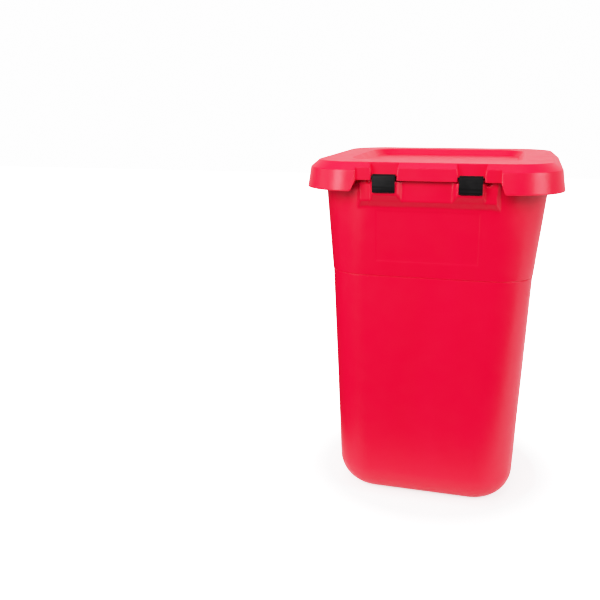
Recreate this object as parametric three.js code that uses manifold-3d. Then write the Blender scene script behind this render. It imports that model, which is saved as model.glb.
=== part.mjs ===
// Thirty-gallon sharps and medical-waste container.
//
// A tapered square tub, a hinged lid with a deep skirt, two snap latches on the
// front and two hinge clips at the back.  Millimetres, +Z up.  The origin is the
// centre of the tub's base; the front, with the latches, faces -Y.

import * as THREE from 'three';
import * as BufferGeometryUtils from 'three/addons/utils/BufferGeometryUtils.js';
import Module from 'manifold-3d';

const wasm = await Module();
wasm.setup();

// ---------------------------------------------------------------- dimensions

// tub: half-widths and corner radii of the outer wall at four heights
const WALL = 3.2;
const BASE_HALF = 186.8, BASE_R = 85.2;          // wall line carried down to z = 0
const BASE_FILLET = 64.5;                        // big rolled edge round the base
const STEP_Z = 502.4, STEP_HALF = 204.6, STEP_R = 80.2, STEP_PROUD = 0.9;
const SHOULDER_Z = 675.0, SHOULDER_HALF = 222.9, SHOULDER_R = 112.9;
const NECK_Z = 690.0, NECK_HALF = 224.5, NECK_R = 112.0;
const RIM_Z = 719.0, RIM_HALF = 236.0, RIM_R = 95.0, RIM_T = 6.0;
const RIM_LIP_Z = 705.0, RIM_LIP_T = 3.0;

// lid
const TOP_Z = 730.0, LID_T = 3.2;
const TOP_HALF = 229.3, TOP_R = 80.0;            // edge of the flat rim on top
const SKIRT_TOP_Z = 715.6, SKIRT_TOP_HALF = 246.6, SKIRT_TOP_R = 97.0;
const SKIRT_Z = 675.0, SKIRT_HALF = 252.9, SKIRT_R = 103.3;
const SKIRT_T = 3.0;
const RECESS_Z = 716.5, RECESS_HALF = 171.5, RECESS_R = 61.0, RECESS_DRAFT = 12.0;

// middle panel of the skirt, front and back, and the channels in it
const NOTCH_X = 137.0, NOTCH_X_LOW = 145.0;
const PANEL_S = 241.2, PANEL_T = 3.0;            // outer face of the set-back panel
const PANEL_Z = 696.0, PANEL_Z_REAR = 702.0;     // its lower edge
const CLIP_X = 82.0, CLIP_W = 44.0;              // latch and hinge-clip centres, width
const CHANNEL_W = 52.0, CHEEK_T = 4.0;
const CHANNEL_S = 229.5, CHANNEL_T = 2.8;        // floor of a channel

// latch and its catch on the tub
const LATCH_PIN = { s: 237.3, z: 702.0, r: 2.5 };
const LATCH_EYE_R = 6.2, LATCH_BORE_R = 2.9;
const LATCH_Z = 672.5;                           // lower edge of the latch
const HOOK_W = 32.0;
const PAD_S = 229.0, PAD_X = 136.0, PAD_Z = 643.0, PAD_TOP_Z = 691.0;
const PAD_HIGH_Z = 703.5;                        // its top between and beside the channels
const CATCH_S = 238.6, CATCH_Z = 669.5, CATCH_TOP_Z = 693.0;
const CATCH_UNDER_Z = 677.3;                     // ledge that the hook bears on
const CATCH_SLOT_Z = 671.1;                      // floor of the slot the hook enters
const CATCH = [[-110, -48], [48, 110]];          // left and right block, at the pad
const CATCH_TAPER = 9.0, CATCH_TAPER_OUT = 6.0;  // towards the middle, and away from it

// hinge
const HINGE_PIN = { s: 243.5, z: 692.3, r: 3.0 };
const HINGE_EYE_R = 6.5, HINGE_BORE_R = 3.35;
const EAR_R = 7.0, EAR_T = 7.4, EAR_GAP = 0.6;
const KEEPER_PIN = { s: 235.0, z: 711.5, r: 2.5 };   // holds a hinge clip in the lid

// seal
const SEAL_IN = 219.2, SEAL_OUT = 226.3, SEAL_CENTRE = 112.5;
const SEAL_Z0 = 719.3, SEAL_Z1 = 726.5;

const CORNER_SEGMENTS = 10;

// ---------------------------------------------------------------- materials

const plastic = (color, roughness) =>
  new THREE.MeshStandardMaterial({ color, roughness, metalness: 0 });
const redTub = plastic(0xe4002f, 0.42);
const redLid = plastic(0xee2a4a, 0.36);
const black = plastic(0x141416, 0.45);
const rubber = plastic(0x2c2c2e, 0.85);
const steel = new THREE.MeshStandardMaterial({ color: 0x3a3a3d, roughness: 0.35, metalness: 1 });

// ---------------------------------------------------------------- helpers

// A rounded square of half-width w and corner radius r at height z.
function ring(w, r, z) {
  const points = [];
  const c = w - r;
  const corners = [[c, c], [-c, c], [-c, -c], [c, -c]];
  corners.forEach(([cx, cy], i) => {
    for (let k = 0; k <= CORNER_SEGMENTS; k++) {
      const a = (i + k / CORNER_SEGMENTS) * Math.PI / 2;
      points.push(new THREE.Vector3(cx + r * Math.cos(a), cy + r * Math.sin(a), z));
    }
  });
  return points;
}

// A closed skin through a list of rings.  The first and last rings are capped.
function loft(rings) {
  const n = rings[0].length;
  const position = [];
  rings.forEach((points) => points.forEach((p) => position.push(p.x, p.y, p.z)));
  const index = [];
  for (let j = 0; j + 1 < rings.length; j++) {
    for (let i = 0; i < n; i++) {
      const a = j * n + i, b = j * n + (i + 1) % n;
      index.push(a, b, b + n, a, b + n, a + n);
    }
  }
  const cap = (j, flip) => {
    const centre = position.length / 3;
    position.push(0, 0, rings[j][0].z);
    for (let i = 0; i < n; i++) {
      const a = j * n + i, b = j * n + (i + 1) % n;
      index.push(...(flip ? [centre, b, a] : [centre, a, b]));
    }
  };
  cap(0, true);
  cap(rings.length - 1, false);
  const geometry = new THREE.BufferGeometry();
  geometry.setAttribute('position', new THREE.Float32BufferAttribute(position, 3));
  geometry.setIndex(index);
  return geometry;
}

// A ring-shaped skin: the list of rings closes on itself.
function loopLoft(rings) {
  const n = rings[0].length, m = rings.length;
  const position = [];
  rings.forEach((points) => points.forEach((p) => position.push(p.x, p.y, p.z)));
  const index = [];
  for (let j = 0; j < m; j++) {
    for (let i = 0; i < n; i++) {
      const a = j * n + i, b = j * n + (i + 1) % n;
      const k = ((j + 1) % m) * n;
      index.push(a, b, k + (i + 1) % n, a, k + (i + 1) % n, k + i);
    }
  }
  const geometry = new THREE.BufferGeometry();
  geometry.setAttribute('position', new THREE.Float32BufferAttribute(position, 3));
  geometry.setIndex(index);
  return geometry;
}

function outline(points) {
  return new THREE.Shape(points.map(([a, b]) => new THREE.Vector2(a, b)));
}

// Prisms along X, Y and Z from outlines in (y, z), (x, z) and (x, y).
function prismX(points, x0, x1) {
  const g = new THREE.ExtrudeGeometry(outline(points), { depth: x1 - x0, bevelEnabled: false });
  g.applyMatrix4(new THREE.Matrix4().set(0, 0, 1, x0, 1, 0, 0, 0, 0, 1, 0, 0, 0, 0, 0, 1));
  return g;
}
function prismY(points, y0, y1) {
  const g = new THREE.ExtrudeGeometry(outline(points), { depth: y1 - y0, bevelEnabled: false });
  g.applyMatrix4(new THREE.Matrix4().set(1, 0, 0, 0, 0, 0, -1, y1, 0, 1, 0, 0, 0, 0, 0, 1));
  return g;
}
function prismZ(points, z0, z1) {
  const g = new THREE.ExtrudeGeometry(outline(points), { depth: z1 - z0, bevelEnabled: false });
  g.translate(0, 0, z0);
  return g;
}
function box(x0, x1, y0, y1, z0, z1) {
  const g = new THREE.BoxGeometry(x1 - x0, y1 - y0, z1 - z0);
  g.translate((x0 + x1) / 2, (y0 + y1) / 2, (z0 + z1) / 2);
  return g;
}
function rodX(r, y, z, x0, x1, segments = 24) {
  const g = new THREE.CylinderGeometry(r, r, x1 - x0, segments);
  g.rotateZ(Math.PI / 2);
  g.translate((x0 + x1) / 2, y, z);
  return g;
}

// An arc as a list of points, angles in degrees.
function arc(cy, cz, r, from, to, n) {
  const points = [];
  for (let k = 0; k <= n; k++) {
    const a = THREE.MathUtils.degToRad(from + (to - from) * k / n);
    points.push([cy + r * Math.cos(a), cz + r * Math.sin(a)]);
  }
  return points;
}

function solid(geometry) {
  const g = geometry.clone();
  g.deleteAttribute('normal');
  g.deleteAttribute('uv');
  const merged = BufferGeometryUtils.mergeVertices(g, 1e-4);
  return new wasm.Manifold(new wasm.Mesh({
    numProp: 3,
    vertProperties: new Float32Array(merged.attributes.position.array),
    triVerts: new Uint32Array(merged.index.array),
  }));
}
const add = (body, ...pieces) => pieces.reduce((s, g) => s.add(solid(g)), body);
const cut = (body, ...pieces) => pieces.reduce((s, g) => s.subtract(solid(g)), body);

function geometryOf(body) {
  const mesh = body.getMesh();
  const g = new THREE.BufferGeometry();
  g.setAttribute('position', new THREE.Float32BufferAttribute(mesh.vertProperties, 3));
  g.setIndex(new THREE.Uint32BufferAttribute(mesh.triVerts, 1));
  g.computeVertexNormals();
  return g;
}

// Outlines below are drawn in (s, z), with s the distance out from the middle
// of the container.  The front takes y = -s and the back y = +s.
const face = (side, points) => points.map(([s, z]) => [side * s, z]);
const FRONT = -1, BACK = 1;

// The X ranges of the piece of width w centred on each clip.
const clipSpan = (w) => [-CLIP_X, CLIP_X].map((x) => [x - w / 2, x + w / 2]);

const wallAt = (z) => (z <= STEP_Z
  ? BASE_HALF + (STEP_HALF - BASE_HALF) * z / STEP_Z
  : STEP_HALF + STEP_PROUD + (SHOULDER_HALF - STEP_HALF - STEP_PROUD)
    * (z - STEP_Z) / (SHOULDER_Z - STEP_Z));
const cornerAt = (z) => BASE_R + (STEP_R - BASE_R) * z / STEP_Z;

// ---------------------------------------------------------------- tub

function makeTub() {
  const rings = [];
  for (const a of [0, 14, 29, 45, 61, 76, 90]) {
    const t = THREE.MathUtils.degToRad(a);
    const z = BASE_FILLET * (1 - Math.cos(t)), inset = BASE_FILLET * (1 - Math.sin(t));
    rings.push(ring(wallAt(z) - inset, cornerAt(z) - inset, z));
  }
  rings.push(ring(STEP_HALF, STEP_R, STEP_Z - 1.4));
  rings.push(ring(STEP_HALF + STEP_PROUD, STEP_R + STEP_PROUD, STEP_Z));
  rings.push(ring(SHOULDER_HALF, SHOULDER_R, SHOULDER_Z));
  rings.push(ring(NECK_HALF, NECK_R, NECK_Z));
  rings.push(ring(NECK_HALF, NECK_R, RIM_Z - RIM_T));
  rings.push(ring(RIM_HALF - RIM_LIP_T, RIM_R - RIM_LIP_T, RIM_Z - RIM_T));
  rings.push(ring(RIM_HALF - RIM_LIP_T, RIM_R - RIM_LIP_T, RIM_LIP_Z));
  rings.push(ring(RIM_HALF, RIM_R, RIM_LIP_Z));
  rings.push(ring(RIM_HALF, RIM_R, RIM_Z - 1.2));
  rings.push(ring(RIM_HALF - 1.2, RIM_R - 1.2, RIM_Z));
  rings.push(ring(NECK_HALF - WALL, NECK_R - WALL, RIM_Z));
  rings.push(ring(NECK_HALF - WALL, NECK_R - WALL, NECK_Z));
  rings.push(ring(SHOULDER_HALF - WALL, SHOULDER_R - WALL, SHOULDER_Z));
  rings.push(ring(STEP_HALF - WALL + 0.4, STEP_R - WALL, STEP_Z));
  for (const a of [90, 70, 50, 30, 14, 0]) {
    const t = THREE.MathUtils.degToRad(a), r = BASE_FILLET - WALL;
    const z = WALL + r * (1 - Math.cos(t)), inset = WALL + r * (1 - Math.sin(t));
    rings.push(ring(wallAt(z) - inset, cornerAt(z) - inset, z));
  }
  let body = solid(loft(rings));

  // the rim is cut back where the lid's channels come down past it
  for (const side of [FRONT, BACK]) {
    for (const [x0, x1] of clipSpan(CHANNEL_W + 2 * CHEEK_T + 4)) {
      const y = [side * (NECK_HALF + 0.25), side * (RIM_HALF + 4)].sort((a, b) => a - b);
      body = cut(body, box(x0, x1, y[0], y[1], RIM_LIP_Z - 3, RIM_Z + 2));
    }
  }

  // front and back pads: a low ledge whose underside slopes into the wall
  const wall = wallAt(PAD_Z);
  const slope = (CATCH_S - wall) / (CATCH_Z - PAD_Z);
  const padLow = PAD_Z + (PAD_S - wall) / slope;
  const padOutline = [[wall - 2.4, PAD_Z - 0.5 / slope], [wall, PAD_Z], [PAD_S, padLow],
    [PAD_S, PAD_TOP_Z - 4], [NECK_HALF - 1.6, PAD_TOP_Z], [wall - 2.4, PAD_TOP_Z - 14]];
  const bevelEnds = (geometryBody, x0, x1, sIn, sOut, tapers, side) => {
    for (const [x, dir, taper] of [[x0, 1, tapers[0]], [x1, -1, tapers[1]]]) {
      const tri = [[x - dir * 0.6 * taper / (sOut - sIn), sIn - 0.6], [x + dir * taper * 1.2,
        sIn + (sOut - sIn) * 1.2], [x - dir * 30, sIn + (sOut - sIn) * 1.2],
      [x - dir * 30, sIn - 0.6]].map(([px, s]) => [px, side * s]);
      geometryBody = cut(geometryBody, prismZ(tri, PAD_Z - 30, RIM_Z));
    }
    return geometryBody;
  };
  for (const side of [FRONT, BACK]) {
    let pad = solid(prismX(face(side, padOutline), -PAD_X, PAD_X));
    // between and beside the channels it runs on up to the rim's lip
    const high = [[PAD_S, padLow + 10], [PAD_S, PAD_HIGH_Z - 1.5], [PAD_S - 1.5, PAD_HIGH_Z],
      [NECK_HALF - 1.6, PAD_HIGH_Z], [NECK_HALF - 1.6, padLow + 10]];
    const clear = CHANNEL_W / 2 + CHEEK_T + 3.5;
    for (const [x0, x1] of [[-PAD_X, -CLIP_X - clear], [-CLIP_X + clear, CLIP_X - clear],
      [CLIP_X + clear, PAD_X]]) {
      pad = add(pad, prismX(face(side, high), x0, x1));
    }
    pad = bevelEnds(pad, -PAD_X, PAD_X, wall - 1, PAD_S, [6, 6], side);
    body = body.add(pad);
  }

  // front catch blocks, each with a pocket under its ledge for the latch's hook
  CATCH.forEach(([x0, x1], i) => {
    const shape = [[PAD_S - 4, padLow - 4 / slope], [CATCH_S, CATCH_Z], [CATCH_S, CATCH_TOP_Z - 1.5],
      [CATCH_S - 1.5, CATCH_TOP_Z], [NECK_HALF - 1.6, CATCH_TOP_Z], [NECK_HALF - 1.6, padLow + 8]];
    let block = solid(prismX(face(FRONT, shape), x0, x1));
    block = bevelEnds(block, x0, x1, PAD_S, CATCH_S,
      i === 0 ? [CATCH_TAPER_OUT, CATCH_TAPER] : [CATCH_TAPER, CATCH_TAPER_OUT], FRONT);
    const c = i === 0 ? -CLIP_X : CLIP_X;
    body = body.add(block);
    body = cut(body, box(c - HOOK_W / 2 - 1.5, c + HOOK_W / 2 + 1.5,
      -CATCH_S - 5, -CATCH_S + 5.1, CATCH_SLOT_Z, CATCH_UNDER_Z));
  });

  // rear hinge ears: a pair beside each hinge clip
  const { s: hs, z: hz } = HINGE_PIN;
  const ear = [...arc(hs, hz, EAR_R, 96, -48, 14), [wallAt(660) + 1, 660],
    [NECK_HALF - 1.6, 664], [NECK_HALF - 1.6, hz + 4.5]];
  for (const [x0, x1] of clipSpan(CLIP_W + 2 * EAR_GAP)) {
    body = add(body, prismX(face(BACK, ear), x0 - EAR_T, x0),
      prismX(face(BACK, ear), x1, x1 + EAR_T));
    body = cut(body, rodX(HINGE_PIN.r + 0.3, hs, hz, x0 - EAR_T - 1, x1 + EAR_T + 1));
  }
  return geometryOf(body);
}

// ---------------------------------------------------------------- lid

function makeLid() {
  const dw = (SKIRT_HALF - SKIRT_TOP_HALF) / (SKIRT_TOP_Z - SKIRT_Z);
  const recessLow = RECESS_HALF - RECESS_DRAFT;
  const rings = [
    // underside, from the middle out
    ring(recessLow + 3.5, RECESS_R - RECESS_DRAFT + 3.5, RECESS_Z - LID_T),
    ring(RECESS_HALF + 2.6, RECESS_R + 2.6, TOP_Z - LID_T),
    ring(TOP_HALF - 0.4, TOP_R - 0.4, TOP_Z - LID_T),
    ring(SKIRT_TOP_HALF - SKIRT_T + 0.1, SKIRT_TOP_R - SKIRT_T + 0.1, SKIRT_TOP_Z - 1.2),
    ring(SKIRT_HALF - SKIRT_T, SKIRT_R - SKIRT_T, SKIRT_Z),
    // outside, from the skirt's edge back to the middle
    ring(SKIRT_HALF, SKIRT_R, SKIRT_Z),
    ring(SKIRT_TOP_HALF + 0.9 * dw, SKIRT_TOP_R + 0.9 * dw, SKIRT_TOP_Z - 0.9),
    ring(SKIRT_TOP_HALF - 1.3, SKIRT_TOP_R - 1.3, SKIRT_TOP_Z + 1.4),
    ring(TOP_HALF + 1.4, TOP_R + 1.4, TOP_Z - 1.1),
    ring(TOP_HALF - 0.4, TOP_R - 0.4, TOP_Z),
    ring(RECESS_HALF + 0.8, RECESS_R + 0.8, TOP_Z),
    ring(RECESS_HALF - 1.2, RECESS_R - 1.2, TOP_Z - 1.5),
    ring(recessLow + 1.4, RECESS_R - RECESS_DRAFT + 1.4, RECESS_Z + 1.2),
    ring(recessLow, RECESS_R - RECESS_DRAFT, RECESS_Z),
  ];
  let body = solid(loft(rings));

  const rise = (TOP_Z - SKIRT_TOP_Z) / (SKIRT_TOP_HALF - TOP_HALF);
  const bevelAt = (s) => TOP_Z - (s - TOP_HALF) * rise - 0.6;

  for (const side of [FRONT, BACK]) {
    const low = side === FRONT ? PANEL_Z : PANEL_Z_REAR;
    const y = (a, b) => [side * a, side * b].sort((p, q) => p - q);

    // take out the skirt between the corners, with splayed ends
    const [c0, c1] = y(PANEL_S, SKIRT_HALF + 4);
    body = cut(body, prismY([[-NOTCH_X, TOP_Z + 3], [-NOTCH_X, low], [-NOTCH_X_LOW, SKIRT_Z - 3],
      [NOTCH_X_LOW, SKIRT_Z - 3], [NOTCH_X, low], [NOTCH_X, TOP_Z + 3]], c0, c1));

    // the set-back panel, and the returns that join it to the corner skirts
    body = add(body, prismX(face(side, [[PANEL_S - PANEL_T, low], [PANEL_S, low],
      [PANEL_S, bevelAt(PANEL_S) + 0.1], [PANEL_S - PANEL_T, bevelAt(PANEL_S)]]),
    -NOTCH_X - 3, NOTCH_X + 3));
    for (const x of [-NOTCH_X - 3, NOTCH_X]) {
      const sLow = SKIRT_TOP_HALF + (SKIRT_TOP_Z - low) * dw - 0.8;
      body = add(body, prismX(face(side, [[PANEL_S - PANEL_T, low], [sLow, low],
        [SKIRT_TOP_HALF - 1.6, SKIRT_TOP_Z - 0.6], [PANEL_S - PANEL_T, bevelAt(PANEL_S)]]), x, x + 3));
    }

    // channels for the clips: solid cheeks and a floor, open at top and front
    const inner = CHANNEL_S - CHANNEL_T;
    clipSpan(CHANNEL_W).forEach(([x0, x1]) => {
      body = add(body, prismX(face(side, [[inner, low], [PANEL_S, low],
        [PANEL_S, bevelAt(PANEL_S) + 0.1], [TOP_HALF + 1.0, TOP_Z - 1.6], [inner, TOP_Z - 1.6]]),
      x0 - CHEEK_T, x1 + CHEEK_T));
      const [d0, d1] = y(CHANNEL_S, SKIRT_HALF + 4);
      body = cut(body, box(x0, x1, d0, d1, low - 2, TOP_Z + 3));
      const pin = side === FRONT ? LATCH_PIN : KEEPER_PIN;
      body = cut(body, rodX(pin.r + 0.3, side * pin.s, pin.z,
        x0 - CHEEK_T + 0.6, x1 + CHEEK_T - 0.6));
    });
  }

  // locating ribs inside the rim, on the front and the two sides
  const ribIn = SEAL_IN - 3.8, ribOut = SEAL_IN - 1.2, ribZ = RIM_Z - 7;
  body = add(body,
    box(-108, 108, -ribOut, -ribIn, ribZ, TOP_Z - 2),
    box(-ribOut, -ribIn, -108, 90, ribZ, TOP_Z - 2),
    box(ribIn, ribOut, -108, 90, ribZ, TOP_Z - 2));
  return geometryOf(body);
}

// ---------------------------------------------------------------- small parts

function makeLatch(x) {
  const { s, z } = LATCH_PIN;
  const plate = [...arc(s, z, LATCH_EYE_R, 0, 232, 18), [239.4, 694.5], [239.4, LATCH_Z + 1.2],
    [239.9, LATCH_Z + 0.2], [240.8, LATCH_Z], [241.8, LATCH_Z + 0.6], [243.2, 677.5],
    [243.9, 684], [244.05, 692]];
  let body = solid(prismX(face(FRONT, plate), x - CLIP_W / 2, x + CLIP_W / 2));
  body = add(body, prismX(face(FRONT, [[234.6, 673.9], [235.6, 673.0], [240.6, LATCH_Z + 0.3],
    [240.6, 678.6], [239.3, 677.0], [239.3, 676.7], [234.6, 676.7]]),
  x - HOOK_W / 2, x + HOOK_W / 2));
  body = cut(body, rodX(LATCH_BORE_R, -s, z, x - CLIP_W, x + CLIP_W));
  return geometryOf(body);
}

function makeHingeClip(x) {
  const { s, z } = HINGE_PIN;
  const leaf = [...arc(s, z, HINGE_EYE_R, 20, -192, 18), [234.6, 699.6], [231.4, 702.4],
    [230.1, 705.0], [230.1, 717.6], [231.4, 719.2], [236.0, 719.6], [239.2, 718.4],
    [242.0, 714.0], [244.2, 708.0], [248.0, 699.5]];
  let body = solid(prismX(face(BACK, leaf), x - CLIP_W / 2, x + CLIP_W / 2));
  body = cut(body, rodX(HINGE_BORE_R, s, z, x - CLIP_W, x + CLIP_W),
    rodX(KEEPER_PIN.r + 0.3, KEEPER_PIN.s, KEEPER_PIN.z, x - CLIP_W, x + CLIP_W));
  return geometryOf(body);
}

function makeSeal() {
  return loopLoft([
    ring(SEAL_IN, SEAL_IN - SEAL_CENTRE, SEAL_Z1),
    ring(SEAL_IN, SEAL_IN - SEAL_CENTRE, SEAL_Z0 + 1.6),
    ring(SEAL_IN + 2.4, SEAL_IN + 2.4 - SEAL_CENTRE, SEAL_Z0),
    ring(SEAL_OUT - 1.6, SEAL_OUT - 1.6 - SEAL_CENTRE, SEAL_Z0),
    ring(SEAL_OUT, SEAL_OUT - SEAL_CENTRE, SEAL_Z0 + 1.6),
    ring(SEAL_OUT, SEAL_OUT - SEAL_CENTRE, SEAL_Z1),
  ]);
}

// ---------------------------------------------------------------- assembly

const container = new THREE.Group();
container.name = 'sharps_container';

function piece(parent, name, geometry, material) {
  const mesh = new THREE.Mesh(geometry, material);
  mesh.name = name;
  parent.add(mesh);
  return mesh;
}

const tub = new THREE.Group();
const lid = new THREE.Group();
container.add(tub, lid);

piece(tub, 'tub', makeTub(), redTub);
piece(lid, 'lid', makeLid(), redLid);
piece(lid, 'lid_seal', makeSeal(), rubber);

for (const [label, x] of [['left', -CLIP_X], ['right', CLIP_X]]) {
  piece(lid, `latch_${label}`, makeLatch(x), black);
  const cheek = CHANNEL_W / 2 + CHEEK_T - 1.0;
  piece(lid, `latch_pin_${label}`,
    rodX(LATCH_PIN.r, -LATCH_PIN.s, LATCH_PIN.z, x - cheek, x + cheek, 20), steel);
  piece(lid, `hinge_clip_${label}`, makeHingeClip(x), black);
  piece(lid, `hinge_clip_keeper_pin_${label}`,
    rodX(KEEPER_PIN.r, KEEPER_PIN.s, KEEPER_PIN.z, x - cheek, x + cheek, 20), steel);
  const ear = CLIP_W / 2 + EAR_GAP + EAR_T + 0.6;
  piece(tub, `hinge_pin_${label}`,
    rodX(HINGE_PIN.r, HINGE_PIN.s, HINGE_PIN.z, x - ear, x + ear, 20), steel);
}

export default container;
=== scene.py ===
"""Sharps container, thirty gallon: a tapered red tub with a hinged lid.

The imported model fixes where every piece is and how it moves.  This script
builds the finished surfaces around it: one closed mesh for each moulded or
turned piece, with its fillets, channels, ledges and lips in the geometry.

Lengths in the tables below are millimetres; meshes are made in metres.
s is the distance out from the middle of the container, through the front,
right, back or left wall; t runs along that wall, left to right.
"""

import math

import bmesh
import bpy
import numpy as np
from mathutils import Matrix, Vector
from mathutils.geometry import tessellate_polygon


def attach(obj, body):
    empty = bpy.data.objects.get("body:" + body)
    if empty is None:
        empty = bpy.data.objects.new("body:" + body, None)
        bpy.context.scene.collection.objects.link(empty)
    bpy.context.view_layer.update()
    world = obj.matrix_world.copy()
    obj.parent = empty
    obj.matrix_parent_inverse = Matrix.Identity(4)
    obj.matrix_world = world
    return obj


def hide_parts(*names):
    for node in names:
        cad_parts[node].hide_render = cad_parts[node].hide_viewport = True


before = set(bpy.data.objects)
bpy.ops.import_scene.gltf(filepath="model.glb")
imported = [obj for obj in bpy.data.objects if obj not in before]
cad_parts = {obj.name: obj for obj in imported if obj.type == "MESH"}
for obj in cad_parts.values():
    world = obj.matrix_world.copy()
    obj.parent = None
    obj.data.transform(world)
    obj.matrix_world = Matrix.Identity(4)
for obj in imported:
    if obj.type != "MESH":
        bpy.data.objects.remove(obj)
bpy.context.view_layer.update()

MM = 0.001

# ---------------------------------------------------------------- dimensions

WALL = 3.2
BASE_HALF, BASE_R, BASE_FILLET = 186.8, 85.2, 64.5
STEP_Z, STEP_HALF, STEP_R, STEP_PROUD = 502.4, 204.6, 80.2, 0.9
SHOULDER_Z, SHOULDER_HALF, SHOULDER_R = 675.0, 222.9, 112.9
NECK_Z, NECK_HALF, NECK_R = 690.0, 224.5, 112.0
RIM_Z, RIM_HALF, RIM_R, RIM_T = 719.0, 236.0, 95.0, 6.0
RIM_LIP_Z, RIM_LIP_T = 705.0, 3.0

TOP_Z, LID_T = 730.0, 3.2
TOP_HALF = 229.3
SKIRT_TOP_Z, SKIRT_TOP_HALF = 715.6, 246.6
SKIRT_Z, SKIRT_HALF, SKIRT_T = 675.0, 252.9, 3.0
LID_C = 149.6                     # half-width less corner radius, all down the lid
RECESS_Z, RECESS_HALF, RECESS_R, RECESS_DRAFT = 716.5, 171.5, 61.0, 12.0

NOTCH_X, NOTCH_X_LOW = 137.0, 145.0
PANEL_S, PANEL_T = 241.2, 3.0
PANEL_Z = {0: 696.0, 2: 702.0}    # front, back
CLIP_X, CLIP_W = 82.0, 44.0
CHANNEL_S, CHANNEL_T = 229.5, 2.8
CHANNEL_HW, CHANNEL_HW_TOP = 24.8, 28.3
CHANNEL_INNER_HW = 30.0

LATCH_PIN = (237.3, 702.0, 2.5)
LATCH_EYE_R, LATCH_BORE_R, LATCH_Z, HOOK_W = 6.2, 2.9, 672.5, 32.0
PAD_S, PAD_X, PAD_Z, PAD_TOP_Z, PAD_HIGH_Z = 229.0, 136.0, 643.0, 691.0, 703.5
CATCH_S, CATCH_Z, CATCH_TOP_Z = 238.6, 669.5, 693.0
CATCH_UNDER_Z, SLOT_Z = 677.3, 671.1
CATCH = ((-110.0, -48.0), (48.0, 110.0))
CATCH_TAPER, CATCH_TAPER_OUT = 9.0, 6.0
HINGE_PIN = (243.5, 692.3, 3.0)
HINGE_EYE_R, HINGE_BORE_R = 6.5, 3.35
EAR_R, EAR_T, EAR_GAP = 7.0, 7.4, 0.6
KEEPER_PIN = (235.0, 711.5, 2.5)
SEAL_IN, SEAL_OUT, SEAL_CENTRE = 219.2, 226.3, 112.5
SEAL_Z0, SEAL_Z1 = 719.3, 726.5


def wall_at(z):
    if z <= STEP_Z:
        return BASE_HALF + (STEP_HALF - BASE_HALF) * z / STEP_Z
    return STEP_HALF + STEP_PROUD + (SHOULDER_HALF - STEP_HALF - STEP_PROUD) * (
        z - STEP_Z) / (SHOULDER_Z - STEP_Z)


def corner_at(z):
    return BASE_R + (STEP_R - BASE_R) * z / STEP_Z


# ---------------------------------------------------------------- materials

def nodes_of(name):
    mat = bpy.data.materials.new(name)
    mat.use_nodes = True
    tree = mat.node_tree
    tree.nodes.clear()
    out = tree.nodes.new("ShaderNodeOutputMaterial")
    bsdf = tree.nodes.new("ShaderNodeBsdfPrincipled")
    tree.links.new(bsdf.outputs["BSDF"], out.inputs["Surface"])
    return mat, tree, bsdf


def add(tree, kind, **values):
    node = tree.nodes.new(kind)
    for key, value in values.items():
        if hasattr(node, key):
            setattr(node, key, value)
        else:
            node.inputs[key.replace("_", " ")].default_value = value
    return node


def noise(tree, vector, scale, detail=3.0, rough=0.55, distortion=0.0):
    n = tree.nodes.new("ShaderNodeTexNoise")
    n.inputs["Scale"].default_value = scale
    n.inputs["Detail"].default_value = detail
    n.inputs["Roughness"].default_value = rough
    n.inputs["Distortion"].default_value = distortion
    tree.links.new(vector, n.inputs["Vector"])
    return n.outputs["Fac"]


def remap(tree, value, a, b, c, d, clamp=True):
    n = tree.nodes.new("ShaderNodeMapRange")
    n.clamp = clamp
    tree.links.new(value, n.inputs["Value"])
    for key, v in (("From Min", a), ("From Max", b), ("To Min", c), ("To Max", d)):
        n.inputs[key].default_value = v
    return n.outputs["Result"]


def maths(tree, op, a, b=None):
    n = tree.nodes.new("ShaderNodeMath")
    n.operation = op
    for i, v in enumerate((a, b)):
        if v is None:
            continue
        if isinstance(v, (int, float)):
            n.inputs[i].default_value = v
        else:
            tree.links.new(v, n.inputs[i])
    return n.outputs[0]


def mix_colour(tree, fac, a, b):
    n = tree.nodes.new("ShaderNodeMix")
    n.data_type = "RGBA"
    n.clamp_factor = True
    tree.links.new(fac, n.inputs["Factor"])
    for key, v in (("A", a), ("B", b)):
        sock = [s for s in n.inputs if s.name == key and s.type == "RGBA"][0]
        if isinstance(v, tuple):
            sock.default_value = (*v, 1.0)
        else:
            tree.links.new(v, sock)
    return [s for s in n.outputs if s.type == "RGBA"][0]


def bump(tree, height, distance, strength=1.0, normal=None):
    n = tree.nodes.new("ShaderNodeBump")
    n.inputs["Distance"].default_value = distance
    n.inputs["Strength"].default_value = strength
    tree.links.new(height, n.inputs["Height"])
    if normal is not None:
        tree.links.new(normal, n.inputs["Normal"])
    return n.outputs["Normal"]


def coords(tree, scale=(1.0, 1.0, 1.0)):
    c = tree.nodes.new("ShaderNodeTexCoord")
    m = tree.nodes.new("ShaderNodeMapping")
    m.inputs["Scale"].default_value = scale
    tree.links.new(c.outputs["Object"], m.inputs["Vector"])
    return m.outputs["Vector"]


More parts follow.
